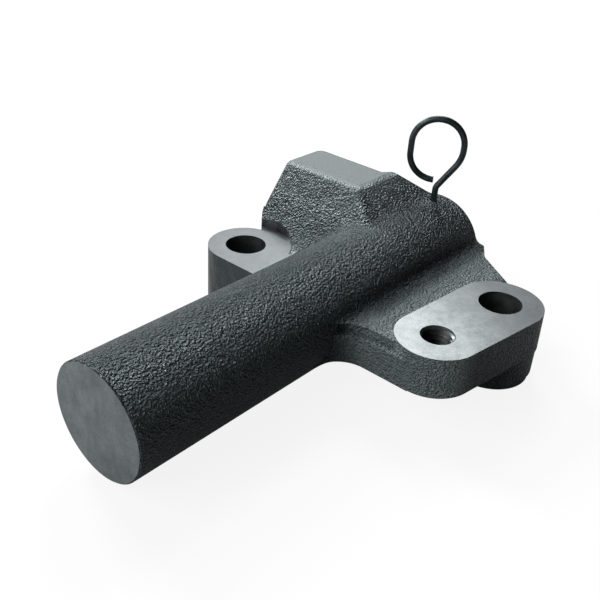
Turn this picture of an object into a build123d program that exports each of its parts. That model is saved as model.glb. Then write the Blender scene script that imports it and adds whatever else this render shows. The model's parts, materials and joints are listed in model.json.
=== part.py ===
"""Hydraulic timing belt tensioner: a cast housing, the hydraulic parts in its bore, and a set pin."""
import math
import os

from build123d import *

# Millimetres. Pieces are drawn with X along the barrel's axis from its closed end, Y across and Z up.
# They are placed at the end, with the left bolt hole's mounting face on the part's origin.

# Barrel and its bores
barrel_radius = 13.15
body_length = 117.0
closed_wall = 9.0
main_bore_step = 1.0
seal_bore_step = 0.6
mouth_chamfer = 0.8
end_chamfer = 0.3

# Lugs, their holes and the machined pads
pad_height = 4.4
mount_drop = 14.0
lug_front = 58.4
bolt_hole_radius = 5.25
left_hole_x = 67.7
left_hole_y = 27.6
left_boss_radius = 9.85
left_lug_depth = 13.4
bridge_reach = 3.0
right_hole_x = 91.3
right_hole_y = -34.5
right_boss_radius = 10.4
boss_step_width = 0.5
boss_step_height = 1.8
tapped_hole_x = 68.25
tapped_hole_y = -31.8
tapped_boss_radius = 9.75
thread_radius = 4.0
thread_depth = 0.65
lug_depth = 10.4
lug_draft = 1.3
spotface_radius = 11.9
lug_edge_radius = 0.6

# Web between the barrel and the right lug
pad_step = 1.0
web_corner_radius = 8.0
web_edge_radius = 2.0
web_rear_radius = 4.0
web_lip_radius = 1.5
web_rear_x = 111.2
web_rear_y = -18.7
web_end_y = -15.1
top_fillet = 2.5
bottom_fillet = 3.0

# Lobe on the left of the rod end
lobe_top = 20.0
lobe_bottom = -9.0
lobe_side_y = 35.0
lobe_overlap = 1.0
lobe_back_x = 104.8
lobe_corner_radius = 7.6
lobe_back_radius = 3.0
ramp_edge_x = 90.3
ramp_angle = 51.1
flank_edge_y = 9.8
flank_angle = 40.8
lobe_foot_radius = 5.5
lobe_edge_radius = 2.0
lobe_rim_radius = 1.8
gusset_y = 10.9
gusset_end_y = 0.4

# Hydraulic parts, counted back from the rod end
rod_radius = 5.5
rod_reach = 8.0
rod_stroke = 8.0
rod_dome_radius = 7.5
rod_head_radius = 7.2
rod_head_length = 2.8
pin_inset = 4.6
seal_inset = 16.2
seal_length = 8.0
stop_washer_thickness = 1.5
stop_gap = 0.3
clip_width = 1.0
clip_depth = 0.5
clip_stand = 0.8
clip_gap = 2.8
clip_play = 0.02
wear_ring_length = 6.0
seat_thickness = 1.2
seat_radius = 5.4
seat_pilot_length = 2.0
seat_pilot_gap = 0.2
seat_hole_radius = 1.2
plunger_length = 28.0
plunger_floor = 5.0
plunger_bore_radius = 4.0
plunger_notch_width = 3.0
plunger_notch_depth = 1.5
sleeve_bore_radius = 6.0
sleeve_wall = 2.0
sleeve_setback = 10.0
sleeve_stand = 5.0
ring_groove_inset = 3.0
ring_groove_gap = 0.07
ring_section_radius = 0.65
snap_ring_width = 1.2
snap_ring_depth = 0.65
snap_ring_height = 1.6
snap_ring_gap = 5.0
snap_ring_play = 0.05
snap_eye_drop = 0.2
running_gap = 0.04

# Check valve on the plunger's face
ball_radius = 2.0
seat_port_radius = 1.6
valve_seat_radius = 3.0
valve_seat_length = 2.0
cage_wall = 0.5
cage_gap = 0.35
cage_space = 2.7
cage_port_radius = 0.8
cage_flange_radius = 5.4
ball_gap = 0.02
ball_spring_radius = 1.1
ball_spring_wire = 0.3

# Springs
return_spring_radius = 4.6
return_spring_wire = 1.3
return_spring_turns = 9
plunger_spring_radius = 3.3
plunger_spring_wire = 0.8
plunger_spring_turns = 8
ball_spring_turns = 4

# Oil seal
seal_case_wall = 0.7
seal_window_radius = 7.0
lip_length = 5.6
lip_heel = 2.0
lip_nose = 1.0
lip_relief = 0.6
lip_thickness = 1.8
lip_web = 1.2
lip_web_gap = 0.4
garter_wire = 1.2
garter_offset = 0.3
garter_rise = 0.06
garter_gap = 0.03

# Set pin
pin_radius = 0.85
pin_hole_gap = 0.15
rod_hole_gap = 0.3
pin_engagement = 2.2
pin_tip_length = 1.2
pin_tip_radius = 0.35
pin_neck_height = 3.85
pin_shoulder_height = 12.45
ring_side = 5.8
ring_radius = 6.9
ring_top_height = 22.65
ring_tail_height = 5.9
ring_tail_side = -0.95
ring_flat = 0.05
pin_turn = -60.0
neck_bend_radius = 2.0
shoulder_bend_radius = 8.5

# Positions along the barrel, worked out from the sizes above
pin_x = body_length - pin_inset
seal_outer_x = body_length - seal_inset
seal_inner_x = seal_outer_x - seal_length
stop_x = seal_inner_x - stop_washer_thickness
clip_x = stop_x - stop_gap - rod_stroke - clip_width
wear_ring_x = clip_x - wear_ring_length
rod_head_x = wear_ring_x - rod_head_length
plunger_end_x = rod_head_x - seat_thickness
plunger_x = plunger_end_x - plunger_length
cage_flange_x = plunger_x - cage_wall
sleeve_end_x = plunger_end_x - sleeve_setback
sleeve_seat_end_x = sleeve_end_x - sleeve_stand
rod_tip_x = body_length + rod_reach
web_top = pad_height - pad_step
web_bottom = pad_height - lug_depth
plunger_radius = sleeve_bore_radius - running_gap
sleeve_seat_radius = sleeve_bore_radius + sleeve_wall
main_bore_radius = sleeve_seat_radius + main_bore_step
seal_bore_radius = main_bore_radius + seal_bore_step
rod_sleeve_radius = rod_radius + running_gap
snap_groove_radius = seal_bore_radius + snap_ring_depth
far = 3 * body_length
tolerance = 0.01
standing = (Align.CENTER, Align.CENTER, Align.MIN)


def turned(*outline):
    """A piece turned about the barrel's axis, from its outline of (x, radius) points."""
    return revolve(make_face(Polyline(*outline, close=True)), Axis.X)


def tube(x_start, x_end, outer, inner=0.0):
    """A plain ring or disc about the barrel's axis."""
    return turned((x_start, inner), (x_end, inner), (x_end, outer), (x_start, outer))


def along_x(section, x_start, x_end):
    """A section in the YZ plane carried along the barrel."""
    return extrude(Plane.YZ.offset(x_start) * section, x_end - x_start)


def column(x, y, radius, z_low, z_high):
    """An upright round column."""
    return extrude(Plane.XY.offset(z_low) * Pos(x, y) * Circle(radius), z_high - z_low)


def rounded(sketch, corner, radius):
    """The sketch with the corner that lies nearest to a point rounded."""
    near = min(sketch.vertices(), key=lambda v: math.hypot(v.X - corner[0], v.Y - corner[1]))
    return fillet(near, radius)


def on_barrel(edge):
    """Whether an edge lies on the barrel's round surface."""
    points = (edge @ 0, edge @ 0.5, edge @ 1)
    return all(abs(math.hypot(point.Y, point.Z) - barrel_radius) < tolerance for point in points)


def helical_spring(x_start, x_end, radius, wire, turns):
    """A coil spring about the barrel's axis, ground flat on both ends."""
    length = x_end - x_start
    path = Helix(length / turns, length, radius, center=(x_start, 0, 0), direction=(1, 0, 0))
    coil = sweep(Plane(path @ 0, z_dir=path % 0) * Circle(wire / 2), path, is_frenet=True)
    return coil & tube(x_start, x_end, radius + wire)


def eased(path, radius):
    """A tool that rounds the top edge of a wall: path runs along the edge with the wall on its right."""
    edge = Plane(path @ 0, x_dir=(path % 0).cross(Vector(0, 0, 1)), z_dir=path % 0)
    corner = Pos(-1, -radius) * Rectangle(1 + radius, 2 * radius, align=Align.MIN)
    return sweep(edge * (corner - Pos(radius, -radius) * Circle(radius)), path)


def web():
    """The web between barrel and right lug: one section along X, trimmed to its outline in plan."""
    plate = Polyline(
        (0, web_top),
        (2 * right_hole_y, web_top),
        (2 * right_hole_y, web_bottom),
        (0, web_bottom),
        close=True,
    )
    section = Circle(barrel_radius) + make_face(plate)
    top_y = -math.sqrt(barrel_radius**2 - web_top**2)
    bottom_y = -math.sqrt(barrel_radius**2 - web_bottom**2)
    section = rounded(section, (top_y, web_top), top_fillet)
    section = rounded(section, (bottom_y, web_bottom), bottom_fillet)
    arc_y = bottom_y - web_corner_radius
    outline = Polyline(
        (lug_front, 0),
        (lug_front, tapped_hole_y),
        (right_hole_x, right_hole_y),
        (right_hole_x + right_boss_radius, right_hole_y + right_boss_radius / 4),
        (web_rear_x, web_rear_y),
        (body_length, web_end_y),
        (body_length, 0),
        close=True,
    )
    plan = rounded(make_face(outline), (web_rear_x, web_rear_y), web_rear_radius)
    plan = rounded(plan, (body_length, web_end_y), web_lip_radius)
    corner = Pos(lug_front - web_corner_radius, arc_y) * Circle(web_corner_radius)
    plan += Pos(lug_front, arc_y) * Rectangle(
        web_corner_radius, web_corner_radius, align=(Align.MAX, Align.MIN)
    ) - corner
    front = Line((lug_front, tapped_hole_y, web_top), (lug_front, arc_y, web_top))
    front += JernArc(front @ 1, front % 1, web_corner_radius, 90)
    body = along_x(section, lug_front - web_corner_radius, body_length) & extrude(plan, far, both=True)
    return body - eased(front, web_edge_radius)


def lobe():
    """The raised lobe: a flat top with a ramp in front and a flank towards the barrel.

    Its upper part runs down to the barrel through one rolling fillet and is then trimmed in plan.
    Its lower part, below the waist, is a plain section with rounded corners.
    """
    slope = math.tan(math.radians(ramp_angle))
    foot_z = lobe_top - flank_edge_y * math.tan(math.radians(flank_angle))
    waist = lobe_bottom / 2
    front_x = ramp_edge_x - (lobe_top - pad_height) / slope - lobe_overlap
    start_x = front_x - barrel_radius
    end_x = body_length + barrel_radius
    side = Polyline(
        (0, lobe_top - slope * ramp_edge_x),
        (ramp_edge_x, lobe_top),
        (far, lobe_top),
        (far, -far),
        (0, -far),
        close=True,
    )
    ramp = extrude(Plane.XZ * make_face(side), far, both=True)
    block = Polyline(
        (0, waist),
        (2 * lobe_side_y, waist),
        (2 * lobe_side_y, lobe_top),
        (flank_edge_y, lobe_top),
        (0, foot_z),
        close=True,
    )
    above = Pos(0, waist) * Rectangle(far, far, align=(Align.CENTER, Align.MIN))
    upper = along_x(Circle(barrel_radius) & above, start_x - 1, end_x)
    upper += along_x(make_face(block), start_x, end_x) & ramp
    corner = Vector(ramp_edge_x, flank_edge_y, lobe_top)
    ridges = []
    for edge in upper.edges():
        if min((edge @ 0 - corner).length, (edge @ 1 - corner).length) < tolerance:
            ridges.append(edge)
    upper = fillet(ridges, lobe_edge_radius)
    foot = [edge for edge in upper.edges() if on_barrel(edge) and (edge @ 0.5).Z > waist + tolerance]
    foot = [edge for edge in foot if start_x < (edge @ 0.5).X < end_x - tolerance]
    upper = fillet(foot, lobe_foot_radius)
    plan = Polyline(
        (front_x, -main_bore_radius),
        (front_x, lobe_side_y),
        (lobe_back_x, lobe_side_y),
        (lobe_back_x, gusset_y),
        (body_length, gusset_end_y),
        (body_length, -main_bore_radius),
        close=True,
    )
    outline = rounded(make_face(plan), (front_x, lobe_side_y), lobe_corner_radius)
    outline = rounded(outline, (lobe_back_x, lobe_side_y), lobe_back_radius)
    trim = extrude(outline, far, both=True)
    base = Polyline((0, lobe_bottom), (lobe_side_y, lobe_bottom), (lobe_side_y, 0), (0, 0), close=True)
    section = Circle(barrel_radius) + make_face(base)
    inner = (math.sqrt(barrel_radius**2 - lobe_bottom**2), lobe_bottom)
    section = rounded(section, inner, bottom_fillet)
    section = rounded(section, (lobe_side_y, lobe_bottom), bottom_fillet)
    lower = along_x(section, front_x, body_length) & ramp
    body = (upper & trim) + (lower & trim)
    top = [edge for edge in body.edges() if abs((edge @ 0.5).Z - lobe_top) < tolerance]
    rim = [edge for edge in top if abs((edge @ 0.5).Y - lobe_side_y) < tolerance]
    return fillet(rim, lobe_rim_radius)


def right_lug():
    """The lug under the right pad: a tapered slot-shaped column and the boss below its rear hole."""
    tapped_end = Pos(tapped_hole_x, tapped_hole_y) * Circle(tapped_boss_radius)
    bolt_end = Pos(right_hole_x, right_hole_y) * Circle(right_boss_radius)
    outline = make_hull(tapped_end.edges() + bolt_end.edges())
    lug = extrude(Plane.XY.offset(pad_height) * outline, -lug_depth, taper=-lug_draft)
    lug = fillet(lug.faces().sort_by(Axis.Z)[0].edges(), lug_edge_radius)
    step_z = boss_step_height - mount_drop
    foot_radius = right_boss_radius - boss_step_width
    lug += column(right_hole_x, right_hole_y, right_boss_radius, step_z, web_top)
    return lug + column(right_hole_x, right_hole_y, foot_radius, -mount_drop, web_top)


def left_lug():
    """The lug under the left pad, bridged to the lobe, with its boss down to the mounting face."""
    arm = Pos(left_hole_x, left_hole_y / 2) * Rectangle(2 * left_boss_radius, left_hole_y)
    arm += Pos(left_hole_x, 0) * Rectangle(spotface_radius, left_hole_y + bridge_reach, align=Align.MIN)
    head = Pos(left_hole_x, left_hole_y) * Circle(left_boss_radius)
    lug = extrude(Plane.XY.offset(pad_height) * (arm + head), -left_lug_depth)
    lug = fillet(lug.faces().sort_by(Axis.Z)[0].edges(), lug_edge_radius)
    return lug + column(left_hole_x, left_hole_y, left_boss_radius, -mount_drop, pad_height)


def housing():
    """The iron casting, with its machined pads, holes and stepped bore."""
    barrel = along_x(Circle(barrel_radius), 0, body_length)
    barrel = chamfer(barrel.faces().sort_by(Axis.X)[0].edges(), end_chamfer)
    body = barrel + web() + lobe() + right_lug() + left_lug()
    body -= column(left_hole_x, left_hole_y, spotface_radius, pad_height, lobe_top + 1)
    body -= column(left_hole_x, left_hole_y, bolt_hole_radius, -far, far)
    body -= column(right_hole_x, right_hole_y, bolt_hole_radius, -far, far)
    body -= column(tapped_hole_x, tapped_hole_y, thread_radius - thread_depth, -far, far)
    sink = Cone(thread_radius - thread_depth, thread_radius, thread_depth, align=standing)
    body -= Pos(tapped_hole_x, tapped_hole_y, pad_height - thread_depth) * sink
    body -= turned(
        (closed_wall, 0),
        (closed_wall, sleeve_seat_radius),
        (sleeve_seat_end_x, sleeve_seat_radius),
        (sleeve_seat_end_x, main_bore_radius),
        (stop_x, main_bore_radius),
        (stop_x, seal_bore_radius),
        (seal_outer_x, seal_bore_radius),
        (seal_outer_x, snap_groove_radius),
        (seal_outer_x + snap_ring_width, snap_groove_radius),
        (seal_outer_x + snap_ring_width, seal_bore_radius),
        (body_length - mouth_chamfer, seal_bore_radius),
        (body_length, seal_bore_radius + mouth_chamfer),
        (body_length, 0),
    )
    return body - column(pin_x, 0, pin_radius + pin_hole_gap, 0, far)


def pressure_sleeve():
    """The hardened sleeve, pressed into the bottom of the bore, with a groove for its ring."""
    ring_x = sleeve_seat_end_x - ring_groove_inset
    groove_half = ring_section_radius + ring_groove_gap
    groove_radius = sleeve_seat_radius - 2 * ring_section_radius
    body = tube(closed_wall, sleeve_end_x, sleeve_seat_radius, sleeve_bore_radius)
    return body - tube(ring_x - groove_half, ring_x + groove_half, far, groove_radius)


def sleeve_o_ring():
    """The rubber ring in the sleeve's groove."""
    ring_x = sleeve_seat_end_x - ring_groove_inset
    section = Pos(ring_x, sleeve_seat_radius - ring_section_radius) * Circle(ring_section_radius)
    return revolve(section, Axis.X)


def return_spring():
    """The main spring, from the bore's bottom to the cage's flange."""
    return helical_spring(
        closed_wall,
        cage_flange_x,
        return_spring_radius,
        return_spring_wire,
        return_spring_turns,
    )


def plunger():
    """The plunger: hollow towards the rod, with a port and a recess for the valve seat."""
    body = turned(
        (plunger_x, seat_port_radius),
        (plunger_x, plunger_radius),
        (plunger_end_x, plunger_radius),
        (plunger_end_x, plunger_bore_radius),
        (plunger_x + plunger_floor, plunger_bore_radius),
        (plunger_x + plunger_floor, seat_port_radius),
    )
    body -= tube(plunger_x, plunger_x + valve_seat_length, valve_seat_radius)
    notch = Box(2 * plunger_notch_depth, 3 * plunger_radius, plunger_notch_width)
    return body - Pos(plunger_end_x, 0, 0) * notch


def valve_seat():
    """The ring that the check ball closes on."""
    return tube(plunger_x, plunger_x + valve_seat_length, valve_seat_radius, seat_port_radius)


def ball_centre_x():
    """Where the ball's centre lies when the ball rests on the edge of its port."""
    return plunger_x - math.sqrt(ball_radius**2 - seat_port_radius**2) - ball_gap


def check_ball():
    """The ball of the check valve, closed."""
    return Pos(ball_centre_x(), 0, 0) * Sphere(ball_radius)


def ball_spring_end_x():
    """Where the ball spring's last coil meets the ball."""
    coil = ball_spring_radius - ball_spring_wire / 2
    return ball_centre_x() - math.sqrt(ball_radius**2 - coil**2) - ball_gap


def ball_spring():
    """The light spring that closes the ball."""
    return helical_spring(
        ball_spring_end_x() - cage_space,
        ball_spring_end_x(),
        ball_spring_radius,
        ball_spring_wire,
        ball_spring_turns,
    )


def ball_cage():
    """The pressed cap over ball and spring, held on the plunger by the return spring."""
    inner = ball_radius + cage_gap
    top_x = ball_spring_end_x() - cage_space
    return turned(
        (top_x - cage_wall, cage_port_radius),
        (top_x - cage_wall, inner + cage_wall),
        (cage_flange_x, inner + cage_wall),
        (cage_flange_x, cage_flange_radius),
        (plunger_x, cage_flange_radius),
        (plunger_x, inner),
        (top_x, inner),
        (top_x, cage_port_radius),
    )


def plunger_spring():
    """The spring inside the plunger, under the spring seat."""
    return helical_spring(
        plunger_x + plunger_floor,
        plunger_end_x,
        plunger_spring_radius,
        plunger_spring_wire,
        plunger_spring_turns,
    )


def spring_seat():
    """The washer between plunger spring and rod, with a pilot inside the spring."""
    pilot = plunger_spring_radius - plunger_spring_wire / 2 - seat_pilot_gap
    return turned(
        (plunger_end_x - seat_pilot_length, seat_hole_radius),
        (plunger_end_x - seat_pilot_length, pilot),
        (plunger_end_x, pilot),
        (plunger_end_x, seat_radius),
        (rod_head_x, seat_radius),
        (rod_head_x, seat_hole_radius),
    )


def push_rod():
    """The rod: a head inside, a groove for the clip, a cross hole for the pin and a domed tip."""
    dome_rise = rod_dome_radius - math.sqrt(rod_dome_radius**2 - rod_radius**2)
    shoulder_x = rod_tip_x - dome_rise
    edge = Polyline(
        (rod_tip_x, 0),
        (rod_head_x, 0),
        (rod_head_x, rod_head_radius),
        (wear_ring_x, rod_head_radius),
        (wear_ring_x, rod_radius),
        (clip_x, rod_radius),
        (clip_x, rod_radius - clip_depth),
        (clip_x + clip_width, rod_radius - clip_depth),
        (clip_x + clip_width, rod_radius),
        (shoulder_x, rod_radius),
    )
    dome = RadiusArc((shoulder_x, rod_radius), (rod_tip_x, 0), rod_dome_radius)
    face = make_face([edge, dome])
    return revolve(face, Axis.X) - column(pin_x, 0, pin_radius + rod_hole_gap, -far, far)


def wear_ring():
    """The plastic guide ring that centres the rod's inner end in the bore."""
    return tube(wear_ring_x, clip_x, main_bore_radius - running_gap, rod_sleeve_radius)


def wear_ring_clip():
    """The split ring in the rod's groove."""
    inner = rod_radius - clip_depth + clip_play
    ring = tube(clip_x, clip_x + clip_width, rod_radius + clip_stand, inner)
    return ring - Pos(clip_x, 0, -rod_radius) * Box(4 * clip_width, clip_gap, rod_radius)


def stop_washer():
    """The washer against the bore's shoulder, which the clip meets at full stroke."""
    return tube(stop_x, seal_inner_x, seal_bore_radius - running_gap, rod_sleeve_radius + stop_gap)


def seal_case():
    """The pressed steel shell of the oil seal, closed on the outside."""
    inner = seal_bore_radius - seal_case_wall
    return turned(
        (seal_inner_x, inner),
        (seal_inner_x, seal_bore_radius),
        (seal_outer_x, seal_bore_radius),
        (seal_outer_x, seal_window_radius),
        (seal_outer_x - seal_case_wall, seal_window_radius),
        (seal_outer_x - seal_case_wall, inner),
    )


def garter_section(radius):
    """A round section at the garter spring's place, just behind the lip's edge."""
    x = seal_outer_x - lip_length + garter_offset
    return Pos(x, rod_sleeve_radius + lip_thickness + garter_rise) * Circle(radius)


def seal_lip():
    """The rubber lip, moulded to the case, with a groove for its garter spring."""
    face_x = seal_outer_x - seal_case_wall
    edge_x = seal_outer_x - lip_length
    inner = seal_bore_radius - seal_case_wall
    lip = turned(
        (face_x, rod_sleeve_radius + lip_relief),
        (face_x - lip_heel, rod_sleeve_radius + lip_relief),
        (edge_x, rod_sleeve_radius),
        (edge_x - lip_nose, rod_sleeve_radius + lip_relief),
        (edge_x - lip_nose, rod_sleeve_radius + lip_thickness),
        (edge_x + lip_thickness, rod_sleeve_radius + lip_thickness),
        (face_x - lip_web, seal_window_radius + lip_web_gap),
        (face_x - lip_web, inner),
        (face_x, inner),
    )
    return lip - revolve(garter_section(garter_wire / 2 + garter_gap), Axis.X)


def garter_spring():
    """The ring spring that presses the lip on the rod."""
    return revolve(garter_section(garter_wire / 2), Axis.X)


def seal_snap_ring():
    """The internal snap ring that keeps the seal in, with its two eyes."""
    outer = snap_groove_radius - snap_ring_play
    inner = outer - snap_ring_height
    eye_y = (snap_ring_gap + snap_ring_height) / 2
    eye_z = math.sqrt(inner**2 - eye_y**2) - snap_eye_drop
    ring = Circle(outer) - Circle(inner)
    ring -= Pos(0, -outer) * Rectangle(snap_ring_gap, 4 * snap_ring_height)
    for side in (-1, 1):
        ring += Pos(side * eye_y, -eye_z) * Circle(snap_ring_height / 2)
    for side in (-1, 1):
        ring -= Pos(side * eye_y, -eye_z) * Circle(snap_ring_height / 4)
    return along_x(ring, seal_outer_x, seal_outer_x + snap_ring_width)


def set_pin():
    """The bent wire pin: a straight leg with a tapered tip, a slanted neck and a finger ring."""
    tip_z = rod_radius - pin_engagement
    leg_z = tip_z + pin_tip_length
    left_side = ring_side - 2 * ring_radius
    path = FilletPolyline(
        (0, leg_z),
        (0, barrel_radius + pin_neck_height),
        (ring_side, barrel_radius + pin_shoulder_height),
        (ring_side, barrel_radius + ring_top_height),
        (left_side, barrel_radius + ring_top_height),
        (left_side, barrel_radius + ring_tail_height),
        (ring_tail_side, barrel_radius + ring_tail_height),
        radius=[neck_bend_radius, shoulder_bend_radius] + 3 * [ring_radius - ring_flat],
    )
    path = Plane.XZ * path
    wire = sweep(Plane(path @ 0, z_dir=path % 0) * Circle(pin_radius), path)
    tip = Pos(0, 0, tip_z) * Cone(pin_tip_radius, pin_radius, pin_tip_length, align=standing)
    return Pos(pin_x, 0, 0) * Rot(0, 0, pin_turn) * (wire + tip)


pieces = {
    "housing": housing(),
    "pressure_sleeve": pressure_sleeve(),
    "sleeve_o_ring": sleeve_o_ring(),
    "return_spring": return_spring(),
    "plunger": plunger(),
    "valve_seat": valve_seat(),
    "check_ball": check_ball(),
    "ball_spring": ball_spring(),
    "ball_cage": ball_cage(),
    "plunger_spring": plunger_spring(),
    "spring_seat": spring_seat(),
    "push_rod": push_rod(),
    "wear_ring": wear_ring(),
    "wear_ring_clip": wear_ring_clip(),
    "stop_washer": stop_washer(),
    "seal_case": seal_case(),
    "seal_lip": seal_lip(),
    "garter_spring": garter_spring(),
    "seal_snap_ring": seal_snap_ring(),
    "set_pin": set_pin(),
}

os.makedirs("parts", exist_ok=True)
for name, piece in pieces.items():
    placed = Pos(-left_hole_x, -left_hole_y, mount_drop) * piece
    export_step(placed, f"parts/{name}.step")
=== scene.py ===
"""Finish, stage and camera for a hydraulic timing belt tensioner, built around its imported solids."""
import json
import math

import bpy
import numpy as np
from bpy.props import FloatProperty, FloatVectorProperty, IntProperty, PointerProperty
from mathutils import Euler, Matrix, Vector


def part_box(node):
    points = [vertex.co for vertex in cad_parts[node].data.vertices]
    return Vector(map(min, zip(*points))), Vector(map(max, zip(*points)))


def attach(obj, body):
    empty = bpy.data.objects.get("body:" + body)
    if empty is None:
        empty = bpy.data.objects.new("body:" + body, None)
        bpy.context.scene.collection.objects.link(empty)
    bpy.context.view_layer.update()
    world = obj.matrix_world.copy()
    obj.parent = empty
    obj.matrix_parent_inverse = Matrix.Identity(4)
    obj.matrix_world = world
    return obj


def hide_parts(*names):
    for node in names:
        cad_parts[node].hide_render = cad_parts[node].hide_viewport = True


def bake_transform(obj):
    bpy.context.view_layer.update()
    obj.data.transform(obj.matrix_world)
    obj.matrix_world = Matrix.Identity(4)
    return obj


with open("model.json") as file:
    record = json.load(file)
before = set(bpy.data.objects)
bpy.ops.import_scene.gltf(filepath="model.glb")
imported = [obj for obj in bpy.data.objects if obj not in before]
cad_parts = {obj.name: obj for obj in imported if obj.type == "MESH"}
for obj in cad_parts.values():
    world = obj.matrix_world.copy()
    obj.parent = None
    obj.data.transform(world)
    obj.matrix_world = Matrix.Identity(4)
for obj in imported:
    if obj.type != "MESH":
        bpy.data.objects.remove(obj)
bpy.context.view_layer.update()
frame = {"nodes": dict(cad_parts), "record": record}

bl_info = {
    "name": "Timing belt tensioner finish",
    "version": (1, 0, 0),
    "blender": (4, 5, 0),
    "location": "3D View > Sidebar > Tensioner",
    "description": "Gives a cast hydraulic tensioner its finishes, thread, stage and camera",
    "category": "Object",
}

MM = 0.001
NODES = frame["nodes"]
MOUNTS = {mount["name"]: mount for mount in frame["record"]["mounts"]}

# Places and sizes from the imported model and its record
HOUSING_LOW, HOUSING_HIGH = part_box("housing")
ROD_LOW, ROD_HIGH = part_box("push_rod")
PIN_LOW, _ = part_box("set_pin")
AXIS_Y = (ROD_LOW[1] + ROD_HIGH[1]) / 2
AXIS_Z = (ROD_LOW[2] + ROD_HIGH[2]) / 2
PAD_Z = MOUNTS["left_bolt_hole"]["dims"]["length_mm"] * MM
TAPPED_PLACE = np.array(MOUNTS["tapped_hole"]["pos_m"][:2])
THREAD_CORE = MOUNTS["tapped_hole"]["dims"]["r_mm"] * MM

# Sizes and places on the casting that the record doesn't give
THREAD_ROOT = 4.0 * MM
TAPPED_BOTTOM = 8.0 * MM
SPOTFACE_RADIUS = 11.9 * MM
PIN_HOLE_REACH = 1.2 * MM
BORE_REACH = 10.7 * MM
RAMP_FOOT = 10.0 * MM
RAMP_ANGLE = math.radians(51.1)
LOBE_CORNER_CENTRE = (16.6 * MM, -0.2 * MM)
LOBE_CORNER_RADIUS = 7.6 * MM
BARREL_INSIDE = 19.0 * MM

# Where a finish changes: the coordinate at which a zone starts, and the one from which it is full.
# BY_FAR_HOLE is taken on a slant across the right pad, at x - PAD_SLANT y
TOP_Z = (HOUSING_HIGH[2] - 0.8 * MM, HOUSING_HIGH[2] - 0.1 * MM)
LOBE_Z = (25 * MM, 28 * MM)
LOBE_Y = (-27 * MM, -19 * MM)
FLANK_X = (21 * MM, 25 * MM)
LEFT_LUG_X = (13 * MM, 9 * MM)
LEFT_LUG_Y = (-16 * MM, -13 * MM)
LEFT_LUG_Z = (PAD_Z + MM, PAD_Z)
FRONT_X = (2 * MM, -3 * MM)
FRONT_Y = (-40 * MM, -46 * MM)
WEB_Z = (9 * MM, 12 * MM)
WEB_BY_BARREL_Y = (-43 * MM, -46 * MM)
WEB_BY_LUG_Y = (-57 * MM, -54 * MM)
OPEN_END_X = (-20 * MM, 30 * MM)
LEFT_PAD_Y = (-30 * MM, -20 * MM)
BY_LOBE_X = (2 * MM, 10 * MM)
BY_LOBE_Y = (-16 * MM, -8 * MM)
RIGHT_PAD_Y = (-40 * MM, -48 * MM)
BY_FAR_HOLE = (38 * MM, 62 * MM)
PAD_SLANT = 0.6

# Places this close count as one, when faces are told apart and when meshes are welded
NEAR = 0.06 * MM
WELD_STEP = 0.00001 * MM

# How much of a face's normal lies along an axis: nearly all of it, less than all, and next to nothing
ALONG_AXIS = 0.99
NOT_LEVEL = 0.95
UPRIGHT = 0.1

# Kinds of face on the casting, of which all but the last are also its material slots
CAST, MILLED, TURNED, DRILLED, TAPPED_WALL = range(5)


class Field:
    """A number that varies over a surface: a node socket that takes part in Python expressions."""

    def __init__(self, tree, socket):
        self.tree = tree
        self.socket = socket

    def maths(self, operation, *values, clamp=False):
        """A maths node whose values are numbers or other fields."""
        node = self.tree.nodes.new("ShaderNodeMath")
        node.operation = operation
        node.use_clamp = clamp
        for socket, value in zip(node.inputs, values):
            if isinstance(value, Field):
                self.tree.links.new(value.socket, socket)
            else:
                socket.default_value = value
        return Field(self.tree, node.outputs[0])

    def __add__(self, other):
        return self.maths("ADD", self, other)

    def __radd__(self, other):
        return self.maths("ADD", other, self)

    def __sub__(self, other):
        return self.maths("SUBTRACT", self, other)

    def __rsub__(self, other):
        return self.maths("SUBTRACT", other, self)

    def __mul__(self, other):
        return self.maths("MULTIPLY", self, other)

    def most(self, other):
        """The larger of two values."""
        return self.maths("MAXIMUM", self, other)

    def between(self, low, high):
        """0 at low, 1 at high, a straight line between them and level beyond."""
        return self.maths("MULTIPLY", self - low, 1 / (high - low), clamp=True)


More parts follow.
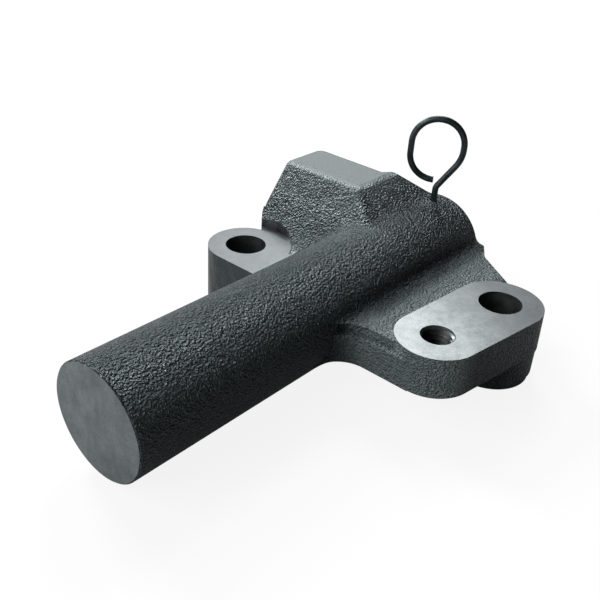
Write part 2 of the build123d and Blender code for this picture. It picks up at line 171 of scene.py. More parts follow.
class Finish:
    """One procedural material on a Principled shader, with its maths written on Field values."""

    def __init__(self, name, **constants):
        self.material = bpy.data.materials.new(name)
        self.material.use_nodes = True
        self.tree = self.material.node_tree
        self.shader = next(node for node in self.tree.nodes if node.type == "BSDF_PRINCIPLED")
        for socket, value in constants.items():
            self.shader.inputs[socket.replace("_", " ")].default_value = value
        self.place = self.node("ShaderNodeTexCoord", {}, {}).outputs["Object"]

    def node(self, kind, settings, values):
        """A node of any kind: its settings are given first, then its sockets' values or links."""
        made = self.tree.nodes.new(kind)
        for setting, value in settings.items():
            setattr(made, setting, value)
        for key, value in values.items():
            socket = made.inputs[key]
            if isinstance(value, Field):
                self.tree.links.new(value.socket, socket)
            elif isinstance(value, bpy.types.NodeSocket):
                self.tree.links.new(value, socket)
            else:
                socket.default_value = value
        return made

    def number(self, socket):
        """A socket's value as a field."""
        return Field(self.tree, socket)

    def axes(self):
        """The X, Y and Z of a surface point as three fields, in metres."""
        split = self.node("ShaderNodeSeparateXYZ", {}, {"Vector": self.place})
        return [self.number(socket) for socket in split.outputs]

    def stretched(self, scale):
        """The object coordinates, multiplied axis by axis."""
        mapping = self.node("ShaderNodeMapping", {}, {"Vector": self.place, "Scale": scale})
        return mapping.outputs["Vector"]

    def noise(self, size, detail=3.0, roughness=0.5, scale=None):
        """Soft noise from 0 to 1 whose blotches are about size across, in metres."""
        place = self.stretched(scale) if scale else self.place
        values = {"Vector": place, "Scale": 1 / size, "Detail": detail, "Roughness": roughness}
        return self.number(self.node("ShaderNodeTexNoise", {}, values).outputs["Fac"])

    def pebbles(self, size, smoothness):
        """Rounded grains about size across: 1 on a grain's crown, 0 in the valley between grains."""
        values = {"Vector": self.place, "Scale": 1 / size, "Smoothness": smoothness}
        cells = self.node("ShaderNodeTexVoronoi", {"feature": "SMOOTH_F1"}, values)
        return 1 - self.number(cells.outputs["Distance"])

    def blend(self, factor, first, second):
        """A colour that goes from first to second as factor goes from 0 to 1.

        The Mix node's colours are its sockets 6 and 7, and its output 2.
        """
        mix = self.node("ShaderNodeMix", {"data_type": "RGBA"}, {"Factor": factor, 6: first, 7: second})
        return mix.outputs[2]

    def relief(self, height, depth):
        """Bumps the surface by a height field, whose 1 stands depth metres proud."""
        bump = self.node("ShaderNodeBump", {}, {"Distance": depth, "Height": height})
        self.feed("Normal", bump.outputs["Normal"])

    def feed(self, socket, value):
        """Links a field or another node's socket to one of the shader's inputs."""
        source = value.socket if isinstance(value, Field) else value
        self.tree.links.new(source, self.shader.inputs[socket])


def solid(colour):
    """A colour of three numbers with full cover."""
    return (*colour, 1.0)


def cast_finish(look):
    """The cast skin: a dark coat over pebbled iron, with broad swells under the grain, and painted shade
    in the valleys between grains, which leaves their crowns paler.

    The grain is strongest at the barrel's closed end, softer on the lobe, and nearly gone on the lobe's
    top and the left lug, which the mould left smooth. The lobe's top is paler than the barrel, and the
    lobe is duller. The lobe's flank, the web's top and the front walls are painted paler, as painted
    light.
    """
    gloss = {"Specular_IOR_Level": look.cast_gloss, "Specular_Tint": solid(look.cast_sheen)}
    finish = Finish("cast_skin", **gloss)
    x, y, z = finish.axes()
    on_top = z.between(*TOP_Z)
    on_lobe = z.between(*LOBE_Z) * y.between(*LOBE_Y)
    on_flank = on_lobe * x.between(*FLANK_X)
    on_left_lug = y.between(*LEFT_LUG_Y) * x.between(*LEFT_LUG_X) * z.between(*LEFT_LUG_Z)
    on_front = y.between(*FRONT_Y) * x.between(*FRONT_X)
    on_web = y.between(*WEB_BY_BARREL_Y) * y.between(*WEB_BY_LUG_Y) * z.between(*WEB_Z)
    # Painted light: the lobe's flank, the front walls and the web's top get a paler colour in place of
    # light
    pale = (on_flank * 0.7).most(on_front * 0.8).most(on_web * 0.7)
    strength = 1 - x.between(*OPEN_END_X) * 0.35
    strength = strength * (1 - on_lobe * 0.55) * (1 - on_left_lug * 0.88) * (1 - on_top * 0.78)
    pebble = finish.pebbles(look.grain_size * 1.3, smoothness=0.15)
    worm = finish.noise(look.grain_size, detail=1.0, roughness=0.6)
    swell = finish.noise(look.swell_size, detail=1.0)
    patch = finish.noise(look.grain_size * 30, detail=2.0)
    grain = pebble * 0.5 + worm * 0.8
    finish.relief(grain * strength + swell * (1 - on_top) * look.swell_height, look.grain_depth)
    crown = grain.between(0.7, 0.95)
    tone = (patch * 0.5 + swell * 0.5).between(0.35, 0.65)
    shade = finish.blend(tone, solid(look.cast_dark), solid(look.cast_colour))
    # Painted shade: the skin between grains stays dark and the grains' crowns are painted paler
    valley_shaded = finish.blend(crown * strength * look.valley_shade, shade, solid(look.cast_lit_crown))
    painted_lit = finish.blend(pale, valley_shaded, solid(look.cast_painted_light))
    finish.feed("Base Color", finish.blend(on_top * 0.85, painted_lit, solid(look.cast_pale)))
    dull = ((1 - crown) * strength * 0.35).most(on_top * 0.32).most(on_lobe * 0.22)
    finish.feed("Roughness", look.cast_roughness + dull)
    return finish.material


def milled_finish(look):
    """Milled pads: pale iron with cloudy stains, fine pits and faint cutter marks.

    The left pad is darker, with painted shade towards the lobe's wall, and the right pad is darker towards
    its far hole.
    """
    finish = Finish("milled_face", Metallic=look.milled_metal)
    x, y, _ = finish.axes()
    cloud = finish.noise(5.5 * MM, detail=5.0, roughness=0.6)
    stain = finish.noise(1.6 * MM, detail=4.0, roughness=0.65)
    pit = finish.noise(0.34 * MM, detail=2.0)
    lay = finish.noise(0.5 * MM, detail=2.0, scale=(0.08, 1, 1))
    tone = (cloud * 0.3 + stain * 0.4 + pit * 0.3).between(0.42, 0.58)
    undarkened = finish.blend(tone, solid(look.milled_dark), solid(look.milled_colour))
    # Painted shade on the left pad where the lobe's wall shades it
    shade_by_lobe = x.between(*BY_LOBE_X) * y.between(*BY_LOBE_Y)
    by_hole = (x - y * PAD_SLANT).between(*BY_FAR_HOLE) * y.between(*RIGHT_PAD_Y)
    # Painted shade by the lobe, and a darker colour over the left pad and on the right pad by its far hole
    oiled = (shade_by_lobe * 0.85).most(by_hole * 0.7).most(y.between(*LEFT_PAD_Y) * 0.75)
    finish.feed("Base Color", finish.blend(oiled, undarkened, solid(look.milled_shade_and_dark)))
    finish.feed("Roughness", look.milled_roughness + stain * 0.14 - lay * 0.08)
    finish.relief(lay * 0.7 + pit * 0.5, look.cutter_depth)
    return finish.material


def turned_finish(look):
    """The two end faces: grey iron with cloudy stains and soft streaks."""
    finish = Finish("end_face", Metallic=look.milled_metal)
    cloud = finish.noise(5 * MM, detail=5.0, roughness=0.6)
    streak = finish.noise(1.4 * MM, detail=2.0, scale=(1, 1, 0.3))
    pit = finish.noise(0.4 * MM, detail=2.0)
    tone = (cloud * 0.5 + streak * 0.2 + pit * 0.3).between(0.4, 0.6)
    finish.feed("Base Color", finish.blend(tone, solid(look.end_dark), solid(look.end_colour)))
    finish.feed("Roughness", look.milled_roughness + cloud * 0.1)
    finish.relief(streak * 0.6 + pit * 0.6, look.cutter_depth)
    return finish.material


def drilled_finish(look):
    """Walls of bores and holes: bare iron, with marks left by the tool and dark oil in places."""
    finish = Finish("hole_wall", Metallic=0.8)
    mark = finish.noise(0.3 * MM, detail=2.0)
    oil = finish.noise(4 * MM, detail=3.0)
    tone = (oil * 0.7 + mark * 0.3).between(0.38, 0.62)
    finish.feed("Base Color", finish.blend(tone, solid(look.wall_dark), solid(look.wall_colour)))
    finish.feed("Roughness", 0.42 - oil * 0.12 + mark * 0.08)
    finish.relief(mark, look.cutter_depth)
    return finish.material


def steel_finish(name, colour, dark, roughness, lay=None, depth=0.006 * MM):
    """Bare steel with fine tool marks, drawn out along each axis to which lay gives less than 1."""
    finish = Finish(name, Metallic=1.0)
    cloud = finish.noise(3 * MM, detail=3.0)
    mark = finish.noise(0.25 * MM, detail=3.0, scale=lay)
    tone = (cloud * 0.5 + mark * 0.5).between(0.36, 0.62)
    finish.feed("Base Color", finish.blend(tone, solid(dark), solid(colour)))
    finish.feed("Roughness", roughness + cloud * 0.1 - mark * 0.06)
    finish.relief(mark, depth)
    return finish.material


def wire_finish(look):
    """The set pin's wire: dark oiled steel, with a thin film of uneven thickness."""
    finish = Finish("pin_wire", Metallic=0.7)
    film = finish.noise(2.2 * MM, detail=3.0)
    speck = finish.noise(0.3 * MM, detail=3.0)
    tone = (film * 0.6 + speck * 0.4).between(0.38, 0.6)
    finish.feed("Base Color", finish.blend(tone, solid(look.pin_dark), solid(look.pin_colour)))
    finish.feed("Roughness", 0.3 + film * 0.16 + speck * 0.05)
    finish.relief(speck * 0.6 + film * 0.4, 0.02 * MM)
    return finish.material


def soft_finish(name, colour, dark, roughness, pit_size):
    """Rubber and plastic: an even colour with faint flow clouds and a fine moulded texture."""
    finish = Finish(name)
    cloud = finish.noise(4 * MM, detail=3.0)
    pit = finish.noise(pit_size, detail=2.0)
    tone = (cloud * 0.6 + pit * 0.4).between(0.35, 0.65)
    finish.feed("Base Color", finish.blend(tone, solid(dark), solid(colour)))
    finish.feed("Roughness", roughness + pit * 0.1)
    finish.relief(pit, 0.01 * MM)
    return finish.material


def length(name, description, default):
    """A property in metres."""
    return FloatProperty(name=name, description=description, default=default, unit="LENGTH", precision=5)


def share(name, description, default):
    """A property from 0 to 1."""
    return FloatProperty(
        name=name, description=description, default=default, min=0, max=1, subtype="FACTOR"
    )


def colour(name, description, default):
    """A colour property."""
    return FloatVectorProperty(
        name=name, description=description, default=default, subtype="COLOR", min=0, max=1
    )


class CastingLook(bpy.types.PropertyGroup):
    """Sizes and colours of the casting."""

    grain_size: length("Grain size", "Width of a grain of the cast skin", 0.48 * MM)
    grain_depth: length("Grain depth", "Height of a grain of the cast skin", 1.6 * MM)
    swell_size: length("Swell size", "Width of the unevenness of the cast walls", 4.0 * MM)
    swell_height: share("Swell height", "Height of the unevenness, as a share of a grain's", 0.3)
    # Strength of the painted shade: how much paler the grains' crowns are than the shaded valleys between
    # them
    valley_shade: share("Rub", "How much paler the grains' crowns are than the skin between them", 0.7)
    hollow_radius: length("Hollow radius", "Radius of the hollow between lobe and left pad", 12.0 * MM)
    cutter_depth: length("Cutter marks", "Depth of the marks on machined faces", 0.01 * MM)
    thread_pitch: length("Thread pitch", "Pitch of the tapped hole", 1.25 * MM)
    thread_steps: IntProperty(name="Thread steps", description="Points round one turn", default=96)
    pitch_rows: IntProperty(name="Thread rows", description="Rows of points in one pitch", default=14)
    cast_gloss: share("Cast gloss", "How much light the cast skin mirrors", 0.85)
    cast_roughness: share("Cast roughness", "Roughness of the cast skin", 0.2)
    milled_metal: share("Milled metal", "How metallic the machined faces are", 0.6)
    milled_roughness: share("Milled roughness", "Roughness of the machined faces", 0.42)
    cast_colour: colour("Cast skin", "Colour of the cast skin", (0.009, 0.013, 0.016))
    cast_dark: colour("Dark cast skin", "Colour of darker patches", (0.004, 0.006, 0.008))
    # Painted light on the grains' crowns, against the painted shade between them
    cast_lit_crown: colour("Rubbed crowns", "Colour of the grains' crowns", (0.034, 0.046, 0.051))
    cast_sheen: colour("Cast sheen", "Colour of the light that the cast skin mirrors", (0.80, 0.97, 1.0))
    # Painted light: the paler colour of the lobe's flank, the web's top and the front walls
    cast_painted_light: colour("Worn skin", "Colour of the lobe's flank, web and front walls", (0.17, 0.20, 0.20))
    cast_pale: colour("Smooth skin", "Colour of the lobe's smooth top", (0.055, 0.064, 0.067))
    milled_colour: colour("Milled faces", "Colour of milled faces", (0.30, 0.33, 0.335))
    milled_dark: colour("Milled stains", "Colour of stains on milled faces", (0.18, 0.20, 0.205))
    # Painted shade by the lobe's wall, and the darker colour of the left pad and of the right pad by its
    # far hole
    milled_shade_and_dark: colour("Oiled faces", "Colour of oil on milled faces", (0.07, 0.08, 0.085))
    end_colour: colour("End faces", "Colour of the end faces", (0.25, 0.285, 0.285))
    end_dark: colour("End stains", "Colour of stains on the end faces", (0.15, 0.175, 0.185))
    wall_colour: colour("Hole walls", "Colour of bored walls", (0.15, 0.165, 0.165))
    wall_dark: colour("Oiled walls", "Colour of oil on bored walls", (0.04, 0.045, 0.045))


class PartsLook(bpy.types.PropertyGroup):
    """Colours of the pin, the rod and the parts in the bore."""

    pin_colour: colour("Pin wire", "Colour of the oiled wire", (0.055, 0.075, 0.078))
    pin_dark: colour("Pin film", "Colour of the oil film", (0.02, 0.03, 0.032))
    ground_colour: colour("Ground steel", "Colour of ground steel", (0.62, 0.63, 0.64))
    ground_dark: colour("Ground steel marks", "Colour of marks on ground steel", (0.48, 0.49, 0.50))
    pressed_colour: colour("Pressed steel", "Colour of pressed sheet", (0.48, 0.49, 0.50))
    pressed_dark: colour("Pressed steel stains", "Colour of stains on sheet", (0.33, 0.34, 0.35))
    spring_colour: colour("Spring wire", "Colour of spring wire", (0.30, 0.30, 0.31))
    spring_dark: colour("Spring wire stains", "Colour of stains on wire", (0.16, 0.16, 0.17))
    black_colour: colour("Black steel", "Colour of blackened steel", (0.05, 0.05, 0.055))
    black_dark: colour("Black steel film", "Colour of darker film", (0.02, 0.02, 0.023))
    rubber_colour: colour("Rubber", "Colour of rubber", (0.028, 0.028, 0.03))
    rubber_dark: colour("Rubber shade", "Colour of darker rubber", (0.016, 0.016, 0.017))
    plastic_colour: colour("Guide ring", "Colour of the guide ring", (0.52, 0.44, 0.30))
    plastic_dark: colour("Guide ring shade", "Colour of darker plastic", (0.42, 0.34, 0.22))


class StageLook(bpy.types.PropertyGroup):
    """The backdrop and the camera."""

    floor_colour: colour("Floor", "Colour of the floor", (0.32, 0.32, 0.32))
    floor_seen: colour("Seen floor", "Colour of the floor as the camera sees it", (0.93, 0.93, 0.93))
    floor_glow: share("Floor glow", "How much of the floor the camera sees as pure white", 0.88)
    floor_mirrored: share("Mirrored floor", "How much of that white the part's reflections see", 0.1)
    surround: share("Surround", "Strength of the even light from all round", 0.015)
    camera_place: FloatVectorProperty(
        name="Camera",
        description="Where the camera stands",
        default=(-0.13499, -0.13155, 0.11527),
        subtype="TRANSLATION",
        unit="LENGTH",
    )
    camera_turn: FloatVectorProperty(
        name="Camera turn",
        description="How the camera is turned",
        default=(math.radians(58.981), math.radians(-3.274), math.radians(-48.370)),
        subtype="EULER",
    )
    lens: FloatProperty(name="Lens", description="Focal length in millimetres", default=48.4)


def dress(material, *nodes):
    """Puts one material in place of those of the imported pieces."""
    for node in nodes:
        mesh = NODES[node].data
        mesh.materials.clear()
        mesh.materials.append(material)


def unit(vectors):
    """Vectors of length 1, row by row."""
    size = np.linalg.norm(vectors, axis=-1, keepdims=True)
    return vectors / np.maximum(size, 1e-12)


def ramp(value, low, high):
    """0 up to low, 1 from high on, and a smooth S between: 3t^2 - 2t^3."""
    t = np.clip((value - low) / (high - low), 0, 1)
    return t * t * (3 - 2 * t)


def packed_corners(node):
    """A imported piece's triangles as an array of triangles x 3 corners x (place, normal)."""
    mesh = NODES[node].data
    places = np.empty(3 * len(mesh.vertices), np.float32)
    mesh.vertices.foreach_get("co", places)
    index = np.empty(len(mesh.loops), np.int32)
    mesh.loops.foreach_get("vertex_index", index)
    normals = np.empty(3 * len(mesh.loops), np.float32)
    mesh.corner_normals.foreach_get("vector", normals)
    corners = np.hstack([places.reshape(-1, 3)[index], normals.reshape(-1, 3)])
    return corners.reshape(-1, 3, 6).astype(float)


def flat_normals(corners):
    """Each triangle's own normal: the cross product of two of its sides."""
    places = corners[:, :, :3]
    return unit(np.cross(places[:, 1] - places[:, 0], places[:, 2] - places[:, 0]))


def weld_keys(places):
    """One whole number for each place, the same for places that coincide.

    It is the sum of the place's coordinates in weld steps, each times a large prime of its own.
    """
    primes = np.array([73856093, 19349663, 83492791], np.int64)
    steps = np.round(places / WELD_STEP).astype(np.int64)
    return steps @ primes


def face_kinds(corners):
    """What was done to each face of the casting, told from where it lies and where it faces."""
    centre = corners[:, :, :3].mean(axis=1)
    flat = np.abs(flat_normals(corners))
    x, y, z = centre.T
    kinds = np.full(len(corners), CAST)
    from_axis = np.hypot(y - AXIS_Y, z - AXIS_Z)
    kinds[from_axis < BORE_REACH] = DRILLED
    at_end = np.minimum(np.abs(x - HOUSING_LOW[0]), np.abs(x - HOUSING_HIGH[0])) < NEAR
    kinds[at_end & (flat[:, 0] > ALONG_AXIS)] = TURNED
    at_pad = np.minimum(np.abs(z - PAD_Z), np.abs(z)) < NEAR
    kinds[at_pad & (flat[:, 2] > ALONG_AXIS)] = MILLED
    wall = flat[:, 2] < UPRIGHT
    for name in ("left_bolt_hole", "right_bolt_hole"):
        mount = MOUNTS[name]
        from_hole = np.hypot(x - mount["pos_m"][0], y - mount["pos_m"][1])
        kinds[wall & (from_hole < mount["dims"]["r_mm"] * MM + NEAR)] = DRILLED
    by_spotface = np.abs(np.hypot(x, y) - SPOTFACE_RADIUS) < 2.5 * NEAR
    kinds[wall & by_spotface & (z > PAD_Z)] = DRILLED
    from_pin = np.hypot(x - pin_leg_x(), y - AXIS_Y)
    kinds[wall & (from_pin < PIN_HOLE_REACH)] = DRILLED
    from_thread = np.hypot(x - TAPPED_PLACE[0], y - TAPPED_PLACE[1])
    kinds[(from_thread < THREAD_ROOT + NEAR) & (flat[:, 2] < NOT_LEVEL)] = TAPPED_WALL
    return kinds


def pin_leg_x():
    """Where the pin's leg stands along X: the middle of the lowest half millimetre of its mesh."""
    corners = packed_corners("set_pin")[:, :, :3].reshape(-1, 3)
    return corners[corners[:, 2] < PIN_LOW[2] + 0.5 * MM, 0].mean()


def thread_rows(look):
    """The tapped wall as a grid of rows x steps, from the hole's bottom to its countersunk mouth.

    The radius is the core's plus the thread's depth times a triangle wave of height / pitch minus the
    part of a turn. The wave is steepened and lowered, then cut at 0 and 1, which makes the crest and the
    root flat. It is eased to nothing at the bottom, and gives way to the countersink's cone at the mouth.
    """
    steeper, lower, run_out = 1.25, 0.1, 0.8 * MM
    depth = THREAD_ROOT - THREAD_CORE
    tall = PAD_Z - TAPPED_BOTTOM
    rows = int(look.pitch_rows * tall / look.thread_pitch)
    turn = np.linspace(0, 2 * np.pi, look.thread_steps, endpoint=False)[None, :]
    z = np.linspace(TAPPED_BOTTOM + NEAR, PAD_Z - NEAR, rows)[:, None]
    phase = (z / look.thread_pitch - turn / (2 * np.pi)) % 1
    wave = np.clip(steeper * (1 - np.abs(2 * phase - 1)) - lower, 0, 1)
    groove = THREAD_CORE + depth * wave * ramp(z, TAPPED_BOTTOM + NEAR, TAPPED_BOTTOM + run_out)
    cone = THREAD_ROOT - (PAD_Z - z)
    radius = np.maximum(groove, cone)
    x = TAPPED_PLACE[0] + radius * np.cos(turn)
    y = TAPPED_PLACE[1] + radius * np.sin(turn)
    grid = np.stack([x, y, z + 0 * turn], axis=2)
    along = np.roll(grid, -1, axis=1) - np.roll(grid, 1, axis=1)
    up = np.gradient(grid, axis=0)
    return np.concatenate([grid, unit(np.cross(up, along))], axis=2)


def quads(grid):
    """A grid's cells as triangles, closed round its second direction."""
    near, far = grid[:-1], grid[1:]
    near_next, far_next = np.roll(near, -1, axis=1), np.roll(far, -1, axis=1)
    lower = np.stack([near, far_next, near_next], axis=2)
    upper = np.stack([near, far, far_next], axis=2)
    return np.concatenate([lower, upper]).reshape(-1, 3, grid.shape[2])


def rim_of(corners, radius, z):
    """The casting's points at height z on the circle of that radius about the tapped hole, each once."""
    points = corners.reshape(-1, 6)
    away = points[:, :2] - TAPPED_PLACE
    on_rim = (np.abs(np.hypot(*away.T) - radius) < NEAR) & (np.abs(points[:, 2] - z) < 3 * NEAR)
    points = points[on_rim]
    _, first = np.unique(weld_keys(points[:, :3]), return_index=True)
    return points[first]


def turning(ring):
    """The angle of each point of a ring about the tapped hole, from 0 to a full turn."""
    away = ring[:, :2] - TAPPED_PLACE
    return np.arctan2(away[:, 1], away[:, 0]) % (2 * np.pi)


def inward(triangles):
    """The level way from each triangle's middle to the tapped hole's axis."""
    way = np.append(TAPPED_PLACE, 0) - triangles[:, :, :3].mean(axis=1)
    way[:, 2] = 0
    return way


def seam(ring, other):
    """Triangles that join two rings of any number of points about the tapped hole.

    Going round, each side of one ring is joined to the point of the other that was passed last.
    """
    ring = ring[np.argsort(turning(ring))]
    other = other[np.argsort(turning(other))]
    passed = np.searchsorted(turning(other), turning(ring), "left") - 1
    passed_back = np.searchsorted(turning(ring), turning(other), "right") - 1
    sides = np.stack([np.roll(ring, 1, axis=0), ring, other[passed]], axis=1)
    back = np.stack([np.roll(other, 1, axis=0), other, ring[passed_back]], axis=1)
    strip = np.concatenate([sides, back])
    away = (flat_normals(strip) * inward(strip)).sum(axis=1) < 0
    strip[away] = strip[away][:, ::-1]
    strip[:, :, 3:] = flat_normals(strip)[:, None]
    return strip


def tapped_wall(corners, look):
    """The thread, joined to the rims that the hole has in the casting."""
    rows = thread_rows(look)
    top = rim_of(corners, THREAD_ROOT, PAD_Z)
    bottom = rim_of(corners, THREAD_CORE, TAPPED_BOTTOM)
    wall = quads(rows)
    if (flat_normals(wall) * inward(wall)).sum() < 0:
        wall = wall[:, ::-1]
    facing = (wall[:, :, 3:] * flat_normals(wall)[:, None]).sum()
    wall[:, :, 3:] *= np.sign(facing)
    return np.concatenate([wall, seam(rows[0], bottom), seam(rows[-1], top)])


def lobe_hollow(look):
    """The hollow that the lobe's ramp makes as it runs out into the left pad, outside the spotface.

    Its points lie on rays about the left hole: from the spotface's rim, or the lobe's round corner where
    that is further out, to the ramp or the barrel. The height is that of an arc of radius R that starts
    level on the pad at foot - R tan(angle / 2) and ends on the ramp: R - sqrt(R^2 - t^2), t along the pad.
    A ray meets the corner at n - sqrt(r^2 - c^2 + n^2), where r is the corner's radius, c its centre's
    distance from the hole, and n that distance along the ray. Only rays past corner_from, in radians,
    meet it. Off the arc, the skin lies a hair under the pad or the ramp.
    """
    first_ray, last_ray, rays, points = -78, 26.4, 65, 33
    corner_from = 0.3
    depth = 2.2 * MM
    sink = 0.3 * NEAR
    radius = look.hollow_radius
    turn = np.radians(np.linspace(first_ray, last_ray, rays))
    start = RAMP_FOOT - radius * math.tan(RAMP_ANGLE / 2)
    end = start + radius * math.sin(RAMP_ANGLE)
    centre = np.array(LOBE_CORNER_CENTRE)
    nearest = centre[0] * np.cos(turn) + centre[1] * np.sin(turn)
    bend = LOBE_CORNER_RADIUS**2 - centre @ centre + nearest**2
    at_corner = np.where(turn > corner_from, nearest - np.sqrt(np.maximum(bend, 0)), 0)
    nearer = np.maximum(SPOTFACE_RADIUS, at_corner)
    further = np.minimum((end + NEAR) / np.cos(turn), BARREL_INSIDE / np.maximum(-np.sin(turn), 0.01))
    away = nearer[:, None] + (further - nearer)[:, None] * np.linspace(0, 1, points)
    x, y = away * np.cos(turn)[:, None], away * np.sin(turn)[:, None]
    along = np.clip(x - start, 0, end - start)
    rise = radius - np.sqrt(radius**2 - along**2)
    off_arc = (x < start) | (x > end)
    z = PAD_Z + rise + np.maximum(x - end, 0) * math.tan(RAMP_ANGLE) - sink * off_arc
    lean = np.arcsin(along / radius)
    return shell(np.stack([x, y, z, -np.sin(lean), 0 * lean, np.cos(lean)], axis=2), depth)


def shell(top, depth):
    """A closed skin from a grid of points: the grid, a copy depth lower, and walls between their edges.

    The second value tells which of its triangles belong to the wall under the grid's first column.
    """
    low = top.copy()
    low[:, :, 2] -= depth
    skin = [cells(top), cells(low)[:, ::-1]]
    first_wall = len(skin)
    edges = [(top[:, 0], low[:, 0]), (low[:, -1], top[:, -1]), (low[0], top[0]), (top[-1], low[-1])]
    skin += [cells(np.stack(edge, axis=1)) for edge in edges]
    wall = np.concatenate([np.full(len(part), number == first_wall) for number, part in enumerate(skin)])
    skin = np.concatenate(skin)
    level = np.arange(len(skin)) < len(cells(top))
    skin[~level, :, 3:] = flat_normals(skin[~level])[:, None]
    return skin, wall


def cells(grid):
    """An open grid's cells as triangles, which face up where columns run to the left of rows."""
    a, b, c, d = grid[:-1, :-1], grid[1:, :-1], grid[1:, 1:], grid[:-1, 1:]
    lower = np.stack([a, c, b], axis=2)
    upper = np.stack([a, d, c], axis=2)
    return np.concatenate([lower, upper]).reshape(-1, 3, grid.shape[2])


def make_piece(name, corners, kinds, materials):
    """A mesh object from welded triangles, with its kinds as material slots and its own normals."""
    keys = weld_keys(corners[:, :, :3].reshape(-1, 3))
    _, first, index = np.unique(keys, return_index=True, return_inverse=True)
    places = corners.reshape(-1, 6)[first, :3]
    triangles = index.reshape(-1, 3)
    whole = (triangles != np.roll(triangles, 1, axis=1)).all(axis=1)
    triangles, corners, kinds = triangles[whole], corners[whole], kinds[whole]
    mesh = bpy.data.meshes.new(name)
    mesh.vertices.add(len(places))
    mesh.vertices.foreach_set("co", places.ravel())
    mesh.loops.add(triangles.size)
    mesh.loops.foreach_set("vertex_index", triangles.ravel())
    mesh.polygons.add(len(triangles))
    mesh.polygons.foreach_set("loop_start", np.arange(0, triangles.size, 3))
    for material in materials:
        mesh.materials.append(material)
    mesh.polygons.foreach_set("material_index", kinds)
    mesh.update(calc_edges=True)
    mesh.normals_split_custom_set(unit(corners[:, :, 3:].reshape(-1, 3)))
    piece = bpy.data.objects.new(name, mesh)
    bpy.context.scene.collection.objects.link(piece)
    return piece


def stretching_spring(node, material):
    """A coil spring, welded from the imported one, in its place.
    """
    corners = packed_corners(node)
    piece = make_piece(node + "_coil", corners, np.zeros(len(corners), int), [material])
    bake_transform(piece)
    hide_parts(node)


class TENSIONER_OT_casting(bpy.types.Operator):
    """Makes the housing's cast skin, machined faces, tapped hole and the hollow by its lobe"""

    bl_idname = "tensioner.casting"
    bl_label = "Casting"

    def execute(self, context):
        look = context.scene.casting_look
        corners = packed_corners("housing")
        kinds = face_kinds(corners)
        kept = kinds != TAPPED_WALL
        wall = tapped_wall(corners[kept], look)
        hollow, rim = lobe_hollow(look)
        corners = np.concatenate([corners[kept], wall, hollow])
        kinds = np.concatenate([kinds[kept], np.full(len(wall), DRILLED), np.where(rim, DRILLED, CAST)])
        materials = [cast_finish(look), milled_finish(look), turned_finish(look), drilled_finish(look)]
        piece = make_piece("housing_casting", corners, kinds, materials)
        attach(piece, "housing")
        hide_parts("housing")
        return {"FINISHED"}


class TENSIONER_OT_set_pin(bpy.types.Operator):
    """Finishes the wire set pin"""

    bl_idname = "tensioner.set_pin"
    bl_label = "Set pin"

    def execute(self, context):
        dress(wire_finish(context.scene.parts_look), "set_pin")
        return {"FINISHED"}


class TENSIONER_OT_push_rod(bpy.types.Operator):
    """Finishes the ground push rod"""

    bl_idname = "tensioner.push_rod"
    bl_label = "Push rod"

    def execute(self, context):
        look = context.scene.parts_look
        rod = steel_finish("ground_rod", look.ground_colour, look.ground_dark, 0.2, (1, 0.1, 0.1))
        dress(rod, "push_rod")
        return {"FINISHED"}


class TENSIONER_OT_rod_seal(bpy.types.Operator):
    """Finishes the oil seal, its garter spring and its snap ring"""

    bl_idname = "tensioner.rod_seal"
    bl_label = "Rod seal"

    def execute(self, context):
        look = context.scene.parts_look
        case = steel_finish("seal_shell", look.pressed_colour, look.pressed_dark, 0.32, (1, 0.3, 0.3))
        ring = steel_finish("black_ring", look.black_colour, look.black_dark, 0.38)
        lip = soft_finish("seal_lip_rubber", look.rubber_colour, look.rubber_dark, 0.45, 0.3 * MM)
        wire = steel_finish("garter_wire", look.spring_colour, look.spring_dark, 0.3)
        dress(case, "seal_case")
        dress(ring, "seal_snap_ring")
        dress(lip, "seal_lip")
        dress(wire, "garter_spring")
        return {"FINISHED"}


class TENSIONER_OT_springs(bpy.types.Operator):
    """Finishes the coil springs and the clip on the rod"""

    bl_idname = "tensioner.springs"
    bl_label = "Springs"

    def execute(self, context):
        look = context.scene.parts_look
        wire = steel_finish("spring_wire", look.spring_colour, look.spring_dark, 0.3)
        dress(wire, "plunger_spring", "wear_ring_clip")
        stretching_spring("return_spring", wire)
        stretching_spring("ball_spring", wire)
        return {"FINISHED"}


class TENSIONER_OT_hydraulics(bpy.types.Operator):
    """Finishes the sleeve, the plunger, the check valve and the washers"""

    bl_idname = "tensioner.hydraulics"
    bl_label = "Hydraulic parts"

    def execute(self, context):
        look = context.scene.parts_look
        ground = steel_finish("ground_parts", look.ground_colour, look.ground_dark, 0.22, (1, 0.1, 0.1))
        sheet = steel_finish("pressed_parts", look.pressed_colour, look.pressed_dark, 0.34)
        ball = steel_finish("polished_ball", look.ground_colour, look.ground_dark, 0.08, depth=0.001 * MM)
        dress(ground, "pressure_sleeve", "plunger", "valve_seat")
        dress(sheet, "ball_cage", "spring_seat", "stop_washer")
        dress(ball, "check_ball")
        return {"FINISHED"}


class TENSIONER_OT_soft_rings(bpy.types.Operator):
    """Finishes the plastic guide ring and the rubber ring"""

    bl_idname = "tensioner.soft_rings"
    bl_label = "Guide and rubber rings"

    def execute(self, context):
        look = context.scene.parts_look
        guide = soft_finish("guide_plastic", look.plastic_colour, look.plastic_dark, 0.42, 0.4 * MM)
        rubber = soft_finish("ring_rubber", look.rubber_colour, look.rubber_dark, 0.5, 0.3 * MM)
        dress(guide, "wear_ring")
        dress(rubber, "sleeve_o_ring")
        return {"FINISHED"}


class TENSIONER_OT_stage(bpy.types.Operator):
    """Adds floor, lights, surround and camera"""

    bl_idname = "tensioner.stage"
    bl_label = "Stage"

    def execute(self, context):
        look = context.scene.stage_look
        context.scene.view_settings.view_transform = "Standard"
        add_floor(look)
        add_surround(look)
        add_lights()
        add_camera(look)
        return {"FINISHED"}


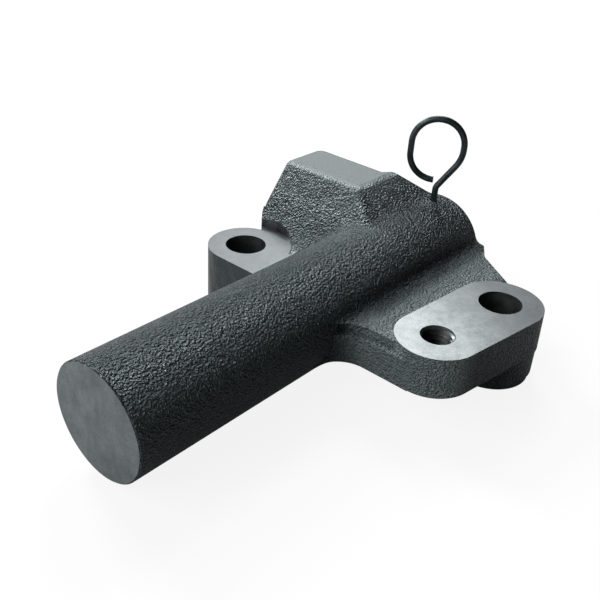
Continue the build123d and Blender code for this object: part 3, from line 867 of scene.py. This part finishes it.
def add_floor(look):
    """One wide level square that the part stands on.

    The camera sees it as white with a faint shadow, and reflections see part of that white.
    """
    reach = 6.0
    corners = [(-reach, -reach, 0), (reach, -reach, 0), (reach, reach, 0), (-reach, reach, 0)]
    mesh = bpy.data.meshes.new("floor")
    mesh.from_pydata(corners, [], [(0, 1, 2, 3)])
    floor = bpy.data.objects.new("floor", mesh)
    bpy.context.scene.collection.objects.link(floor)
    finish = Finish("floor_paper", Roughness=0.9)
    ray = finish.node("ShaderNodeLightPath", {}, {})
    seen = finish.number(ray.outputs["Is Camera Ray"])
    passed = finish.number(ray.outputs["Is Transmission Ray"])
    mirrored = finish.number(ray.outputs["Is Glossy Ray"]).most(passed)
    finish.feed("Base Color", finish.blend(seen, solid(look.floor_colour), solid(look.floor_seen)))
    glow = finish.node("ShaderNodeEmission", {}, {"Color": (1, 1, 1, 1), "Strength": 1.0})
    shown = seen * look.floor_glow + mirrored * look.floor_mirrored
    paper = finish.shader.outputs["BSDF"]
    mix = finish.node("ShaderNodeMixShader", {}, {0: shown, 1: paper, 2: glow.outputs["Emission"]})
    output = next(node for node in finish.tree.nodes if node.type == "OUTPUT_MATERIAL")
    finish.tree.links.new(mix.outputs[0], output.inputs["Surface"])
    mesh.materials.append(finish.material)


def add_surround(look):
    """White to the eye, and a mild even light on the part."""
    world = bpy.data.worlds.new("studio")
    world.use_nodes = True
    bpy.context.scene.world = world
    tree = world.node_tree
    background = next(node for node in tree.nodes if node.type == "BACKGROUND")
    ray = tree.nodes.new("ShaderNodeLightPath")
    seen = Field(tree, ray.outputs["Is Camera Ray"]).most(Field(tree, ray.outputs["Is Transmission Ray"]))
    background.inputs["Color"].default_value = (1, 1, 1, 1)
    tree.links.new(seen.most(look.surround).socket, background.inputs["Strength"])


def add_light(name, place, size, power):
    """A square softbox at place, turned towards the middle of the part."""
    aim = (0, -0.03, 0.014)
    light = bpy.data.lights.new(name, "AREA")
    light.size = size
    light.energy = power
    lamp = bpy.data.objects.new(name, light)
    bpy.context.scene.collection.objects.link(lamp)
    lamp.location = place
    lamp.rotation_euler = (Vector(aim) - Vector(place)).to_track_quat("-Z", "Y").to_euler()


def add_lights():
    """Two boxes behind the part, which the cast skin and the pads mirror, and two on its left."""
    add_light("back_box", (0.2, 0.92, 0.65), 0.3, 12.0)
    add_light("right_box", (0.65, 0.48, 0.78), 0.4, 7.5)
    add_light("left_box", (-0.6, 0.45, 0.75), 0.5, 2.5)
    add_light("side_box", (-0.95, 0.15, 0.5), 0.6, 6.0)


def add_camera(look):
    """A camera at the photograph's place and angle."""
    camera = bpy.data.cameras.new("photo_view")
    camera.lens = look.lens
    camera.sensor_width = 36
    camera.clip_start = 0.01
    viewer = bpy.data.objects.new("photo_view", camera)
    viewer.location = look.camera_place
    viewer.rotation_euler = Euler(look.camera_turn)
    bpy.context.scene.collection.objects.link(viewer)
    bpy.context.scene.camera = viewer


OPERATORS = [
    TENSIONER_OT_casting,
    TENSIONER_OT_set_pin,
    TENSIONER_OT_push_rod,
    TENSIONER_OT_rod_seal,
    TENSIONER_OT_springs,
    TENSIONER_OT_hydraulics,
    TENSIONER_OT_soft_rings,
    TENSIONER_OT_stage,
]


class TENSIONER_PT_finish(bpy.types.Panel):
    """Lists the steps that finish the tensioner, and the values that they use"""

    bl_idname = "TENSIONER_PT_finish"
    bl_label = "Tensioner"
    bl_space_type = "VIEW_3D"
    bl_region_type = "UI"
    bl_category = "Tensioner"

    def draw(self, context):
        for operator in OPERATORS:
            self.layout.operator(operator.bl_idname)
        for look in (context.scene.casting_look, context.scene.parts_look, context.scene.stage_look):
            box = self.layout.box()
            for name in look.__annotations__:
                box.prop(look, name)


CLASSES = [CastingLook, PartsLook, StageLook, *OPERATORS, TENSIONER_PT_finish]


def register():
    for each in CLASSES:
        bpy.utils.register_class(each)
    bpy.types.Scene.casting_look = PointerProperty(type=CastingLook)
    bpy.types.Scene.parts_look = PointerProperty(type=PartsLook)
    bpy.types.Scene.stage_look = PointerProperty(type=StageLook)


def unregister():
    del bpy.types.Scene.casting_look
    del bpy.types.Scene.parts_look
    del bpy.types.Scene.stage_look
    for each in reversed(CLASSES):
        bpy.utils.unregister_class(each)


def main():
    register()
    bpy.ops.tensioner.casting()
    bpy.ops.tensioner.set_pin()
    bpy.ops.tensioner.push_rod()
    bpy.ops.tensioner.rod_seal()
    bpy.ops.tensioner.springs()
    bpy.ops.tensioner.hydraulics()
    bpy.ops.tensioner.soft_rings()
    bpy.ops.tensioner.stage()


if __name__ == "__main__":
    main()
